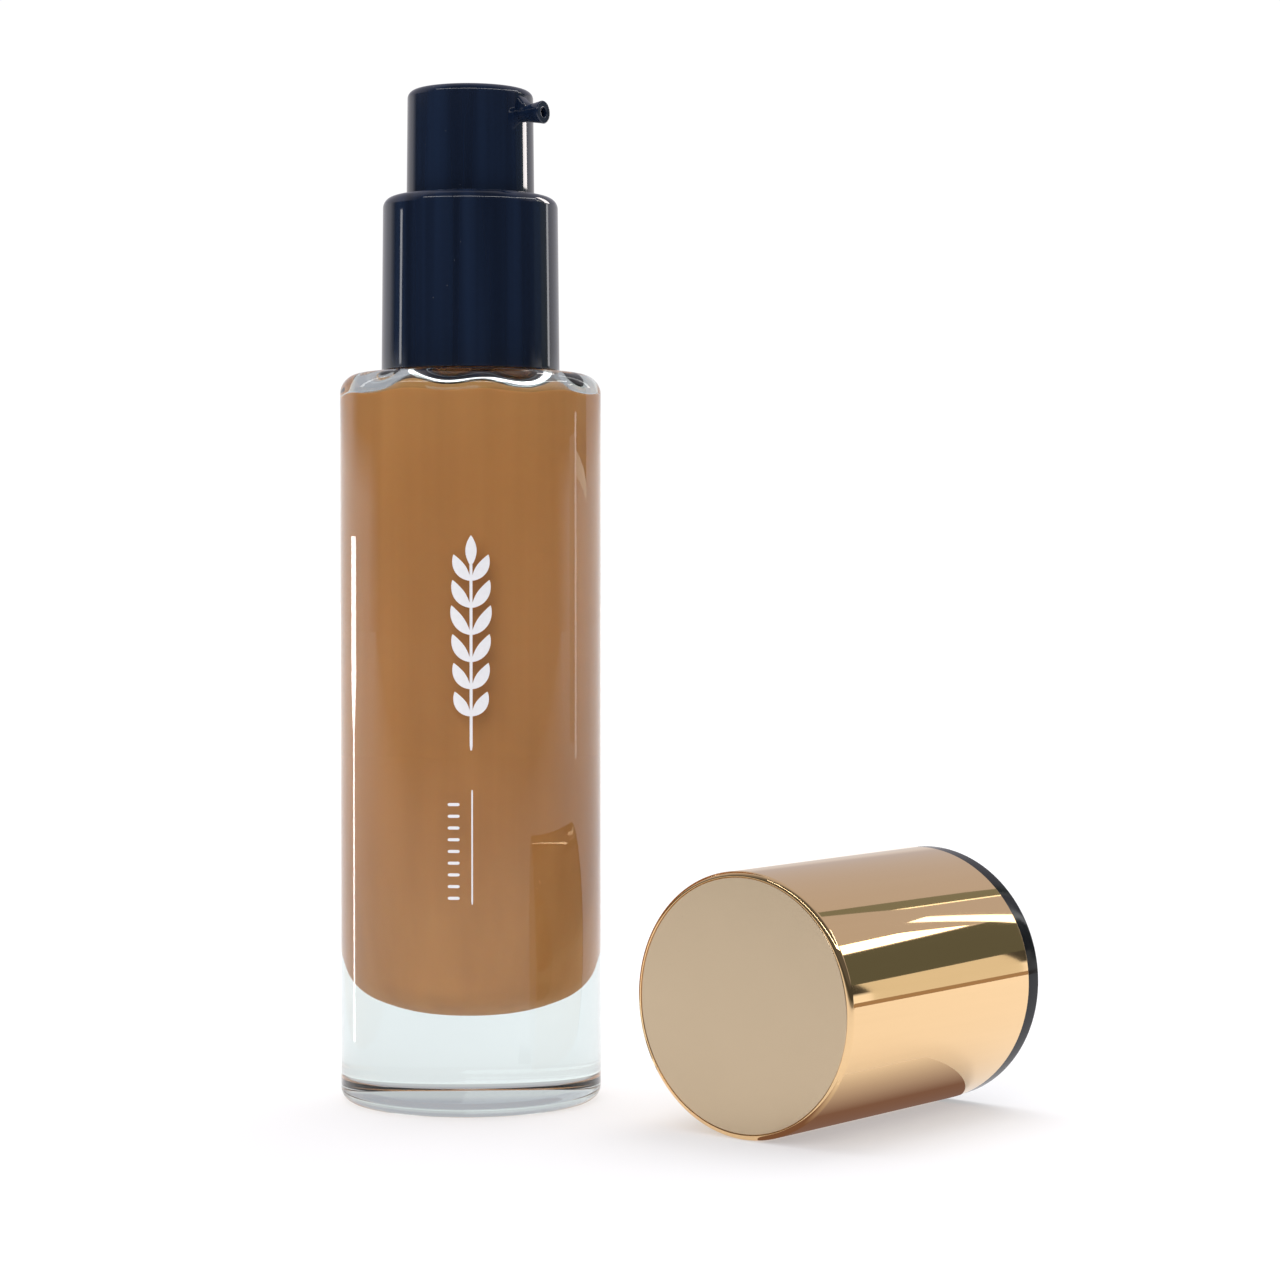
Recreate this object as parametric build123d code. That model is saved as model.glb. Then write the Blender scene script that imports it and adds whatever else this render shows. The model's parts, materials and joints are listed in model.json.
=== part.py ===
from build123d import *
import os
from math import atan, cos, degrees, radians, sqrt

# A foundation bottle: a thick-based glass bottle with a lotion pump, and its overcap lying beside it.
# Millimetres, +Z up. The origin is on the bottle's axis, on the plane that the bottle stands on.
# +X runs from the bottle towards the overcap, and +Y from the overcap's closed end to its mouth.

# Driving dimensions
BOTTLE_R = 15.0
SHOULDER_Z = 83.7
WALL = 2.2
BASE_Z = 10.45  # top of the thick glass base, at its middle
NECK_R = 7.9
NECK_BORE_R = 5.6
NECK_TOP_Z = 92.5
THREAD_PITCH = 3.175
THREAD_TURNS = 1.2
THREAD_CREST_R = 8.75
THREAD_Z = 86.2
LIQUID_TOP_Z = 81.9
COLLAR_R = 10.25
COLLAR_TOP_Z = 103.8
BUTTON_R = 7.36
BUTTON_TOP_Z = 116.2
NOZZLE_Z = 112.9
NOZZLE_REACH = 10.2
NOZZLE_TURN = 7.0  # degrees from +X
NOZZLE_OUTER_R = 0.95
NOZZLE_BORE_R = 0.55
OVERCAP_R = 14.4  # at its closed end
OVERCAP_MOUTH_R = 14.6
OVERCAP_LENGTH = 36.55
OVERCAP_TILT = degrees(atan((OVERCAP_MOUTH_R - OVERCAP_R) / OVERCAP_LENGTH))  # as it lies on its tapered side
OVERCAP_PLACE = (41.06, -2.33, OVERCAP_R * cos(radians(OVERCAP_TILT)))  # centre of the closed end
RIM_THICK = 2.4
SHELL_WALL = 0.6
LINER_BORE_R = 10.5

# Clearances and thin walls
RUNNING = 0.05
LOOSE = 0.25
SEAT_GAP = 0.1

# Heights and radii inside the pump
GASKET_THICK = 0.8
FLANGE_THICK = 1.0
FLANGE_R = 8.4
FLANGE_Z = NECK_TOP_Z + GASKET_THICK
FLANGE_TOP_Z = FLANGE_Z + FLANGE_THICK
HOUSING_R = 5.0
HOUSING_BORE_R = 4.0
CHAMBER_Z = 69.0
NIPPLE_R = 2.5
NIPPLE_Z = 58.0
TUBE_R = 1.9
TUBE_BORE_R = 1.2
TUBE_FOOT_Z = 11.8
BALL_R = 1.5
BALL_BORE_R = BALL_R + 0.3
BALL_Z = 65.2
BALL_STOP_R = 1.2  # the lip that keeps the ball from rising into the barrel
BALL_STOP_Z = 68.2
CHAMBER_WALL = 1.2
TAPER_Z = BALL_Z - 2.2  # where the ball chamber narrows to the nipple
TURRET_Z = 86.8
TURRET_TOP_Z = 97.2
TURRET_R = 4.6
STEM_R = 2.1
STEM_BORE_R = 1.1
STEM_FOOT_Z = 84.2
STEM_TOP_Z = 111.2
SIDE_HOLE_R = 0.5
SIDE_HOLE_Z = STEM_FOOT_Z + 1.0
ROD_R = 1.6
ROD_FOOT_Z = STEM_FOOT_Z - 5.0
SPRING_R = 2.9
SPRING_WIRE_R = 0.28
SPRING_TURNS = 7
BUTTON_WALL = 1.0
NOZZLE_ROOT = 3.0  # distance from the button's axis to the tube's inner end
SKIRT_Z = 102.4
CLOSURE_R = 9.55
CLOSURE_BORE_R = 9.0
CLOSURE_TOP_THICK = 1.2


def turned(points, rounds=()):
    """Turns a closed outline of (radius, height) points about Z. rounds holds (corner, fillet radius) pairs."""
    face = make_face(Polyline(*points, close=True))
    for corner, radius in rounds:
        vertex = face.vertices().sort_by_distance(Vector(*corner))[0]
        face = fillet(vertex, radius)
    return Rot(90, 0, 0) * revolve(face, Axis.Y)


def rod(radius, low, high):
    """A solid cylinder about Z between two heights."""
    return Pos(0, 0, low) * Cylinder(radius, high - low, align=(Align.CENTER, Align.CENTER, Align.MIN))


def tube(outer, inner, low, high):
    """A hollow cylinder about Z between two heights."""
    return rod(outer, low, high) - rod(inner, low, high)


def helical_ridge(root_r, crest_r, root_width, crest_width, low):
    """One start of a screw thread on the wall at root_r, sunk a little into that wall."""
    path = Helix(THREAD_PITCH, THREAD_PITCH * THREAD_TURNS, root_r, center=(0, 0, low))
    begin = path @ 0
    radial = Vector(begin.X, begin.Y, 0).normalized()
    height = crest_r - root_r
    sunk = -0.2 if height > 0 else 0.2
    section = make_face(
        Polyline(
            (sunk, -root_width / 2),
            (height, -crest_width / 2),
            (height, crest_width / 2),
            (sunk, root_width / 2),
            close=True,
        )
    )
    return sweep(Plane(origin=begin, x_dir=radial, z_dir=path % 0) * section, path, is_frenet=True)


def cavity(skin=0.0):
    """The space inside the glass, drawn in by skin all round: a dished floor, and a wall that leans in low down."""
    wall_r = BOTTLE_R - WALL - skin
    floor_z = BASE_Z + skin
    top_z = SHOULDER_Z - 1.5 - skin
    bore_r = NECK_BORE_R - skin
    dish_corner = (4.2, floor_z)
    heel_corner = (9.0 - skin, floor_z + 2.2)
    wall_corner = (wall_r, BASE_Z + 18.0)
    shoulder_corner = (wall_r, top_z)
    neck_corner = (bore_r, top_z)
    return turned(
        [
            (0, floor_z),
            dish_corner,
            heel_corner,
            wall_corner,
            shoulder_corner,
            neck_corner,
            (bore_r, NECK_TOP_Z + 1),
            (0, NECK_TOP_Z + 1),
        ],
        [
            (dish_corner, 12.0),
            (heel_corner, 4.5),
            (wall_corner, 40.0),
            (shoulder_corner, 2.6),
            (neck_corner, 1.2),
        ],
    )


def glass_bottle():
    """The bottle: a straight thick wall, a heavy base with a shallow hollow under it, and a threaded neck."""
    foot_r = BOTTLE_R - 3.0
    foot_rise = 0.9
    shell_corner = (BOTTLE_R, SHOULDER_Z - 0.4)
    outer = turned(
        [
            (0, foot_rise),
            (foot_r - 2.5, foot_rise),
            (foot_r, 0),
            (BOTTLE_R, 0),
            shell_corner,
            (COLLAR_R + 0.6, SHOULDER_Z),
            (NECK_R, SHOULDER_Z),
            (NECK_R, NECK_TOP_Z),
            (0, NECK_TOP_Z),
        ],
        [((BOTTLE_R, 0), 1.6), (shell_corner, 2.3), ((NECK_R, NECK_TOP_Z), 0.4)],
    )
    thread = helical_ridge(NECK_R, THREAD_CREST_R, 1.5, 0.8, THREAD_Z)
    return outer + thread - cavity()


def foundation_fill():
    """The liquid, with a clear way up its middle for the pump and its dip tube."""
    way = rod(TUBE_R + LOOSE, BASE_Z, NIPPLE_Z)
    way += rod(NIPPLE_R + LOOSE, NIPPLE_Z - LOOSE, BALL_Z)
    way += rod(HOUSING_R + LOOSE, TAPER_Z, LIQUID_TOP_Z)
    return (cavity(0.02) & rod(BOTTLE_R, BASE_Z, LIQUID_TOP_Z)) - way


def neck_gasket():
    """A soft ring squeezed between the glass neck and the pump's flange."""
    return tube(FLANGE_R, HOUSING_R, NECK_TOP_Z + SEAT_GAP, FLANGE_Z)


def pump_housing():
    """The pump's barrel: a flange, a smooth bore, a chamber for the inlet ball and a nipple for the dip tube."""
    chamber_r = BALL_BORE_R + CHAMBER_WALL
    outside = turned(
        [
            (0, NIPPLE_Z),
            (NIPPLE_R, NIPPLE_Z),
            (NIPPLE_R, TAPER_Z),
            (chamber_r, BALL_Z),
            (chamber_r, CHAMBER_Z - 1.5),
            (HOUSING_R, CHAMBER_Z - 0.2),
            (HOUSING_R, FLANGE_Z),
            (FLANGE_R, FLANGE_Z),
            (FLANGE_R, FLANGE_TOP_Z),
            (0, FLANGE_TOP_Z),
        ]
    )
    tube_stop_z = TAPER_Z - 0.8
    seat_r = TUBE_BORE_R - 0.3
    seat_z = BALL_Z - sqrt(2) * BALL_R + seat_r
    inside = turned(
        [
            (0, NIPPLE_Z - 1),
            (TUBE_R, NIPPLE_Z - 1),
            (TUBE_R, tube_stop_z),
            (seat_r, tube_stop_z),
            (seat_r, seat_z),
            (BALL_BORE_R, seat_z + BALL_BORE_R - seat_r),
            (BALL_BORE_R, BALL_STOP_Z),
            (BALL_STOP_R, BALL_STOP_Z),
            (BALL_STOP_R, CHAMBER_Z),
            (HOUSING_BORE_R, CHAMBER_Z),
            (HOUSING_BORE_R, FLANGE_TOP_Z + 1),
            (0, FLANGE_TOP_Z + 1),
        ]
    )
    return outside - inside


def retaining_turret():
    """The plug that closes the barrel and guides the stem."""
    outside = turned(
        [
            (0, TURRET_Z),
            (HOUSING_BORE_R, TURRET_Z),
            (HOUSING_BORE_R, FLANGE_TOP_Z),
            (TURRET_R, FLANGE_TOP_Z),
            (TURRET_R, TURRET_TOP_Z),
            (0, TURRET_TOP_Z),
        ],
        [((TURRET_R, TURRET_TOP_Z), 0.5)],
    )
    return outside - rod(STEM_R + RUNNING, TURRET_Z - 1, TURRET_TOP_Z + 1)


def dip_tube():
    """The tube that draws liquid up from just above the glass base, cut with a notch so that it can't seal."""
    notch_side = 1.6
    notch = Pos(0, 0, TUBE_FOOT_Z) * Rot(0, 45, 0) * Box(notch_side, 2 * TUBE_R + 1, notch_side)
    return tube(TUBE_R, TUBE_BORE_R, TUBE_FOOT_Z, TAPER_Z - 0.8) - notch


def inlet_ball():
    """The steel ball that closes the barrel's inlet."""
    return Pos(0, 0, BALL_Z + SEAT_GAP) * Sphere(BALL_R)


def screw_closure():
    """The plain threaded cap that clamps the pump's flange to the neck."""
    bottom = SHOULDER_Z + 0.5
    top = FLANGE_TOP_Z + CLOSURE_TOP_THICK
    shell = rod(CLOSURE_R, bottom, top) - rod(CLOSURE_BORE_R, bottom, FLANGE_TOP_Z + RUNNING)
    shell -= rod(TURRET_R + LOOSE, FLANGE_TOP_Z, top)
    thread_z = THREAD_Z - THREAD_PITCH / 2 + 0.5  # just under the neck's own thread
    return shell + helical_ridge(CLOSURE_BORE_R, NECK_R + 0.2, 1.0, 0.5, thread_z)


def collar_sleeve():
    """The glossy sleeve pressed over the closure, with a turned-in top around the button."""
    bottom = SHOULDER_Z + SEAT_GAP
    top_r = COLLAR_R - 0.2
    hole_r = BUTTON_R + LOOSE
    lip_z = COLLAR_TOP_Z - 1.6
    return turned(
        [
            (CLOSURE_R, bottom),
            (COLLAR_R, bottom),
            (top_r, COLLAR_TOP_Z),
            (hole_r, COLLAR_TOP_Z),
            (hole_r, lip_z),
            (CLOSURE_R, lip_z),
        ],
        [((top_r, COLLAR_TOP_Z), 1.25), ((hole_r, COLLAR_TOP_Z), 0.2), ((COLLAR_R, bottom), 0.2)],
    )


def side_hole():
    """The hole through the stem and the rod's head that lets liquid in when the piston slides up."""
    return Pos(0, 0, SIDE_HOLE_Z) * Rot(0, 90, 0) * Cylinder(SIDE_HOLE_R, 2 * STEM_R + 1)


def pump_stem():
    """The hollow stem that carries liquid from the piston up to the button."""
    return tube(STEM_R, STEM_BORE_R, STEM_FOOT_Z, STEM_TOP_Z) - side_hole()


def piston_rod():
    """The core under the stem: its head plugs the stem, and its foot holds the spring."""
    foot_r = 3.5
    head_top_z = STEM_FOOT_Z + 3.0
    core = turned(
        [
            (0, ROD_FOOT_Z),
            (foot_r, ROD_FOOT_Z),
            (foot_r, ROD_FOOT_Z + 1.0),
            (ROD_R, ROD_FOOT_Z + 2.0),
            (ROD_R, STEM_FOOT_Z),
            (STEM_BORE_R, STEM_FOOT_Z),
            (STEM_BORE_R, head_top_z),
            (0, head_top_z),
        ],
        [((foot_r, ROD_FOOT_Z), 0.3)],
    )
    return core - side_hole()


def piston_seal():
    """The soft piston with a thin lip above and below, running in the barrel."""
    low = STEM_FOOT_Z - 2.8
    high = STEM_FOOT_Z + 2.2
    lip_r = HOUSING_BORE_R - RUNNING
    lip_height = 0.5
    lip_thick = 0.4
    waist_r = lip_r - 0.5
    cup_depth = 1.2
    return turned(
        [
            (ROD_R, low + cup_depth),
            (waist_r - lip_thick, low + cup_depth),
            (lip_r - lip_thick, low),
            (lip_r, low),
            (lip_r, low + lip_height),
            (waist_r, low + cup_depth + lip_thick),
            (waist_r, high - cup_depth - lip_thick),
            (lip_r, high - lip_height),
            (lip_r, high),
            (lip_r - lip_thick, high),
            (waist_r - lip_thick, high - cup_depth),
            (STEM_R, high - cup_depth),
            (STEM_R, STEM_FOOT_Z),
            (ROD_R, STEM_FOOT_Z),
        ]
    )


def return_spring():
    """The wire coil between the barrel's floor and the piston rod's foot."""
    low = CHAMBER_Z + SPRING_WIRE_R + RUNNING
    high = ROD_FOOT_Z - SPRING_WIRE_R - RUNNING
    path = Helix((high - low) / SPRING_TURNS, high - low, SPRING_R, center=(0, 0, low))
    section = Plane(origin=path @ 0, z_dir=path % 0) * Circle(SPRING_WIRE_R)
    return sweep(section, path, is_frenet=True)


def turned_to_nozzle(shape):
    """Faces a shape made along +X the way that the nozzle points."""
    return Rot(0, 0, NOZZLE_TURN) * shape


def along_nozzle(radius, begin, end):
    """A cylinder on the nozzle's axis between two distances from the button's axis."""
    return Pos((begin + end) / 2, 0, NOZZLE_Z) * Rot(0, 90, 0) * Cylinder(radius, end - begin)


def hood(rim_r, rim_z):
    """The wedge that runs from the button's top edge down over the nozzle's root."""
    depth = 0.6
    reach = 0.8
    half_width = 0.9
    foot_z = NOZZLE_Z + 0.2
    side = make_face(
        Polyline(
            (rim_r - depth, foot_z),
            (rim_r + reach, foot_z),
            (rim_r + reach, foot_z + 0.9),
            (rim_r - depth, rim_z - depth / 2),
            close=True,
        )
    )
    return extrude(Plane.XZ * side, amount=half_width, both=True)


def button_shell():
    """The button's outer cup, with a small hood that runs from its top edge down to the nozzle."""
    inner_r = BUTTON_R - BUTTON_WALL
    top_r = BUTTON_R - 0.14
    crown_r = top_r - 2.2
    crown_z = BUTTON_TOP_Z - 0.25
    cup = turned(
        [
            (inner_r, SKIRT_Z),
            (BUTTON_R, SKIRT_Z),
            (top_r, crown_z),
            (crown_r, BUTTON_TOP_Z),
            (0, BUTTON_TOP_Z),
            (0, BUTTON_TOP_Z - BUTTON_WALL),
            (inner_r, BUTTON_TOP_Z - BUTTON_WALL),
        ],
        [((top_r, crown_z), 0.9), ((crown_r, BUTTON_TOP_Z), 3.0)],
    )
    return turned_to_nozzle(cup + hood(top_r, crown_z) - along_nozzle(NOZZLE_OUTER_R, NOZZLE_ROOT, NOZZLE_REACH))


def button_core():
    """The plug inside the cup: a socket for the stem and the channel out to the nozzle."""
    core_r = BUTTON_R - BUTTON_WALL
    core_top_z = BUTTON_TOP_Z - BUTTON_WALL
    socket_r = 4.2
    socket_z = COLLAR_TOP_Z + 3.4
    shelf_z = socket_z + 2.0
    core = turned(
        [
            (0, socket_z),
            (socket_r, socket_z),
            (socket_r, shelf_z),
            (core_r, shelf_z),
            (core_r, core_top_z),
            (0, core_top_z),
        ],
        [((socket_r, socket_z), 0.4)],
    )
    socket = rod(STEM_R + RUNNING, socket_z - 1, STEM_TOP_Z + SEAT_GAP)
    channel = rod(STEM_BORE_R, STEM_TOP_Z - 0.5, NOZZLE_Z + NOZZLE_BORE_R)
    outlet = along_nozzle(NOZZLE_BORE_R, 0, NOZZLE_ROOT + 0.5)
    outlet += along_nozzle(NOZZLE_OUTER_R, NOZZLE_ROOT, core_r + 1)
    return turned_to_nozzle(core - socket - channel - outlet)


def nozzle_tube():
    """The little tube that the liquid comes out of, flaring from the hood to its tip."""
    flare_r = NOZZLE_OUTER_R + 0.38
    flare_start = BUTTON_R + 0.7
    outline = [
        (NOZZLE_BORE_R, NOZZLE_ROOT),
        (NOZZLE_OUTER_R, NOZZLE_ROOT),
        (NOZZLE_OUTER_R, flare_start),
        (flare_r, NOZZLE_REACH),
        (NOZZLE_BORE_R, NOZZLE_REACH),
    ]
    pipe = turned(outline, [((flare_r, NOZZLE_REACH), 0.15)])
    return turned_to_nozzle(Pos(0, 0, NOZZLE_Z) * Rot(0, 90, 0) * pipe)


def lying_down(shape):
    """Lays an upright overcap shape, closed end down at the origin, into its place beside the bottle."""
    return Pos(*OVERCAP_PLACE) * Rot(OVERCAP_TILT - 90, 0, 0) * shape


def overcap_outer_r(height):
    """The overcap's outside radius at a height above its closed end."""
    return OVERCAP_R + (OVERCAP_MOUTH_R - OVERCAP_R) * height / OVERCAP_LENGTH


def overcap_shell():
    """The metal cup outside the overcap, a little wider at its mouth."""
    mouth_z = OVERCAP_LENGTH - RIM_THICK
    mouth_r = overcap_outer_r(mouth_z)
    cup = turned(
        [
            (0, 0),
            (OVERCAP_R, 0),
            (mouth_r, mouth_z),
            (mouth_r - SHELL_WALL, mouth_z),
            (OVERCAP_R - SHELL_WALL, SHELL_WALL),
            (0, SHELL_WALL),
        ],
        [((OVERCAP_R, 0), 0.55)],
    )
    return lying_down(cup)


def overcap_liner():
    """The plastic liner: a black rim at the mouth, an outer skirt, and a ribbed sleeve that grips the collar."""
    rim_z = OVERCAP_LENGTH - RIM_THICK
    rim_r = overcap_outer_r(rim_z) - 0.1
    sleeve_r = LINER_BORE_R + 1.0
    skirt_z = OVERCAP_LENGTH - 9.0
    skirt_r = overcap_outer_r(skirt_z) - SHELL_WALL
    skirt_wall = 0.9
    roof_thick = 1.4
    web_r = OVERCAP_R - SHELL_WALL
    web_thick = 0.8
    bead_r = 0.18
    bead_length = 14.0
    liner = tube(rim_r, LINER_BORE_R, rim_z, OVERCAP_LENGTH)
    liner += tube(sleeve_r, LINER_BORE_R, SHELL_WALL, OVERCAP_LENGTH)
    liner += rod(sleeve_r, SHELL_WALL, SHELL_WALL + roof_thick)
    liner += tube(skirt_r, skirt_r - skirt_wall, skirt_z, OVERCAP_LENGTH)
    web = Pos((web_r + sleeve_r) / 2 - 0.2, 0, OVERCAP_LENGTH / 2)
    web *= Box(web_r - sleeve_r + 0.4, web_thick, OVERCAP_LENGTH - 2 * RIM_THICK)
    for step in range(8):
        liner += Rot(0, 0, 45 * step) * (web & rod(web_r, SHELL_WALL, OVERCAP_LENGTH))
    bead = Pos(LINER_BORE_R, 0, OVERCAP_LENGTH - 12.0) * Cylinder(bead_r, bead_length)
    for step in range(6):
        liner += Rot(0, 0, 60 * step + 22.5) * bead
    return lying_down(liner)


NODES = [
    glass_bottle,
    foundation_fill,
    neck_gasket,
    pump_housing,
    retaining_turret,
    dip_tube,
    inlet_ball,
    screw_closure,
    collar_sleeve,
    pump_stem,
    piston_rod,
    piston_seal,
    return_spring,
    button_shell,
    button_core,
    nozzle_tube,
    overcap_shell,
    overcap_liner,
]

os.makedirs("parts", exist_ok=True)
for make in NODES:
    export_step(make(), f"parts/{make.__name__}.step")
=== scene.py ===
import json
from math import atan, ceil, cos, pi, radians, sin, tau

import bmesh
import bpy
from mathutils import Matrix, Vector


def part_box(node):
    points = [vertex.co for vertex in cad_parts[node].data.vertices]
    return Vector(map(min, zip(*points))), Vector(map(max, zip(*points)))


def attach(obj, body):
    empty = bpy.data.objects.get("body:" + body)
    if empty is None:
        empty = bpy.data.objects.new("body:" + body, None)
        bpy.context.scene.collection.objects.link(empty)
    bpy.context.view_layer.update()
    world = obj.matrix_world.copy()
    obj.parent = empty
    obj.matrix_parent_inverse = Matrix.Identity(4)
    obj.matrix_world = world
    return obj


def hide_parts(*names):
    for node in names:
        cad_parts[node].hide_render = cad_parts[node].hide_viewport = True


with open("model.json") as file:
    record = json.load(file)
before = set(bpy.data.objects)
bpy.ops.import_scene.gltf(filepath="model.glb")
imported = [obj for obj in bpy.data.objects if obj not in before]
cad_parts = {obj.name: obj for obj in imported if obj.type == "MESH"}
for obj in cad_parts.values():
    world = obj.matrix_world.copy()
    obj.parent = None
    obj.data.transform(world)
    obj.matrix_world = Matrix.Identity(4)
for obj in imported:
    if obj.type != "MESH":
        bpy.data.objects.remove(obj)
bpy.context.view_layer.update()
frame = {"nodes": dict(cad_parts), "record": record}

# Lengths are in millimetres and become metres in the meshes.
MM = 0.001
SEGMENTS = 192
ARC_STEP = radians(5)
SHARP_EDGE = radians(35)

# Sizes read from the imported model
glass_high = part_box("glass_bottle")[1]
collar_low, collar_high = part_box("collar_sleeve")
button_low, button_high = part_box("button_shell")
mounts = {mount["name"]: mount for mount in frame["record"]["mounts"]}

COLLAR_GAP = 0.1
BOTTLE_R = glass_high[0] / MM
NECK_TOP = glass_high[2] / MM
COLLAR_FOOT = collar_low[2] / MM
SHOULDER = COLLAR_FOOT - COLLAR_GAP
COLLAR_R = collar_high[0] / MM
COLLAR_TOP = collar_high[2] / MM
BUTTON_TOP = button_high[2] / MM
SKIRT = button_low[2] / MM
LIQUID_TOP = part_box("foundation_fill")[1][2] / MM
OVERCAP_PLACE = Vector(mounts["overcap_end"]["pos_m"]) / MM

# Sizes that the model's boxes don't tell
WALL = 2.2
BASE = 10.45
SHOULDER_THICK = 1.5
INNER_R = BOTTLE_R - WALL
INNER_TOP = SHOULDER - SHOULDER_THICK
NECK_R = 7.9
NECK_BORE = 5.6
BORE_FILLET = 1.2
THREAD_PITCH = 3.175
THREAD_TURNS = 1.2
THREAD_RISE = 0.85
THREAD_START = 86.2
BUTTON_R = 7.36
BUTTON_WALL = 1.0
BUTTON_RIM_R = BUTTON_R - 0.14
BUTTON_RIM_Z = BUTTON_TOP - 0.25
NOZZLE_Z = 112.9
NOZZLE_REACH = 10.2
NOZZLE_TURN = radians(7.0)
NOZZLE_R = 0.95
NOZZLE_BORE = 0.55
OVERCAP_R = 14.4
OVERCAP_MOUTH_R = 14.6
OVERCAP_LENGTH = 36.55
OVERCAP_TILT = atan((OVERCAP_MOUTH_R - OVERCAP_R) / OVERCAP_LENGTH)
SHELL_WALL = 0.6
RIM_THICK = 2.4
LINER_BORE = 10.5
BEADS = 6

# How far the liquid reaches into the glass, so that no air shows between them
SKIN = 0.03


# ---------------------------------------------------------------- meshes


def rounded(corners):
    """A (radius, height) outline from (radius, height, fillet radius) corners, each fillet an arc."""
    points = []
    count = len(corners)
    for i, (r, z, fillet) in enumerate(corners):
        here = Vector((r, z))
        if fillet <= 0:
            points.append(here)
            continue
        before = (Vector(corners[i - 1][:2]) - here).normalized()
        after = (Vector(corners[(i + 1) % count][:2]) - here).normalized()
        half = before.angle(after) / 2
        centre = here + (before + after).normalized() * fillet / sin(half)
        reach = fillet * cos(half) / sin(half)
        start = here + before * reach - centre
        sweep = start.angle_signed(here + after * reach - centre)
        steps = max(4, ceil(abs(sweep) / ARC_STEP))
        for k in range(steps + 1):
            turn = -sweep * k / steps
            points.append(centre + Matrix.Rotation(turn, 2) @ start)
    return [(p.x, p.y) for p in points]


def smooth_object(name, verts, faces):
    """A new object from a mesh in millimetres, smooth except over sharp edges, with its normals outward."""
    mesh = bpy.data.meshes.new(name)
    mesh.from_pydata([Vector(v) * MM for v in verts], [], faces)
    work = bmesh.new()
    work.from_mesh(mesh)
    bmesh.ops.recalc_face_normals(work, faces=work.faces)
    for face in work.faces:
        face.smooth = True
    for edge in work.edges:
        edge.smooth = edge.calc_face_angle(0) < SHARP_EDGE
    work.to_mesh(mesh)
    work.free()
    piece = bpy.data.objects.new(name, mesh)
    bpy.context.scene.collection.objects.link(piece)
    return piece


def lathe(name, outline, swell=None, lift=None, segments=SEGMENTS):
    """Turns a closed (radius, height) outline about Z.

    swell and lift are functions of angle, radius and height, and add to the radius and to the height.
    """
    verts, faces, rings = [], [], []
    for r, z in outline:
        first = len(verts)
        if r < 1e-6:
            verts.append((0, 0, z))
            rings.append([first] * segments)
            continue
        for k in range(segments):
            angle = tau * k / segments
            grown = r + (swell(angle, r, z) if swell else 0)
            raised = z + (lift(angle, r, z) if lift else 0)
            verts.append((grown * cos(angle), grown * sin(angle), raised))
        rings.append(list(range(first, first + segments)))
    for low, high in zip(rings, rings[1:] + rings[:1]):
        if low[0] == low[1] and high[0] == high[1]:
            continue
        for k in range(segments):
            nxt = (k + 1) % segments
            corners = [low[k], low[nxt], high[nxt], high[k]]
            faces.append(list(dict.fromkeys(corners)))
    return smooth_object(name, verts, faces)


def place(piece, matrix):
    """Moves a piece's own vertices, given in millimetres, so that its object stays at the origin."""
    moved = Matrix.Translation(matrix.translation * MM) @ matrix.to_3x3().to_4x4()
    piece.data.transform(moved)
    return piece


def finish_piece(piece, body, material, replaces=()):
    """Gives a piece its material and its body, and hides the CAD parts that it replaces."""
    piece.data.materials.append(material)
    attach(piece, body)
    if replaces:
        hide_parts(*replaces)
    return piece


# ---------------------------------------------------------------- materials


def new_material(name):
    """A node material with a Principled shader. Returns the material, its tree and the shader."""
    material = bpy.data.materials.new(name)
    material.use_nodes = True
    tree = material.node_tree
    return material, tree, tree.nodes["Principled BSDF"]


def object_noise(tree, scale, stretch, detail):
    """Noise in object space. stretch scales each axis, so a small number draws the pattern out along it."""
    where = tree.nodes.new("ShaderNodeTexCoord")
    mapping = tree.nodes.new("ShaderNodeMapping")
    mapping.inputs["Scale"].default_value = stretch
    noise = tree.nodes.new("ShaderNodeTexNoise")
    noise.inputs["Scale"].default_value = scale
    noise.inputs["Detail"].default_value = detail
    tree.links.new(where.outputs["Object"], mapping.inputs["Vector"])
    tree.links.new(mapping.outputs["Vector"], noise.inputs["Vector"])
    return noise


def spread(tree, value, low, high, start=0.0, end=1.0):
    """Maps a value socket from start..end to low..high."""
    node = tree.nodes.new("ShaderNodeMapRange")
    node.inputs["From Min"].default_value = start
    node.inputs["From Max"].default_value = end
    node.inputs["To Min"].default_value = low
    node.inputs["To Max"].default_value = high
    tree.links.new(value, node.inputs["Value"])
    return node.outputs["Result"]


def two_colours(tree, value, low, high):
    """Blends two colours by a value socket from 0 to 1."""
    ramp = tree.nodes.new("ShaderNodeValToRGB")
    ramp.color_ramp.elements[0].color = (*low, 1)
    ramp.color_ramp.elements[1].color = (*high, 1)
    tree.links.new(value, ramp.inputs["Fac"])
    return ramp.outputs["Color"]


def maths(tree, operation, first, second):
    """One sum, product or the like of two value sockets."""
    node = tree.nodes.new("ShaderNodeMath")
    node.operation = operation
    tree.links.new(first, node.inputs[0])
    tree.links.new(second, node.inputs[1])
    return node.outputs["Value"]


def overlay(tree, under, colour, weight):
    """A plain colour laid over a colour socket by a weight socket."""
    node = tree.nodes.new("ShaderNodeMix")
    node.data_type = "RGBA"
    node.inputs["B"].default_value = (*colour, 1)
    tree.links.new(weight, node.inputs["Factor"])
    tree.links.new(under, node.inputs["A"])
    return node.outputs["Result"]


def along(tree, vector, direction):
    """How far a vector socket reaches along a direction."""
    node = tree.nodes.new("ShaderNodeVectorMath")
    node.operation = "DOT_PRODUCT"
    node.inputs[1].default_value = direction
    tree.links.new(vector, node.inputs[0])
    return node.outputs["Value"]


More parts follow.
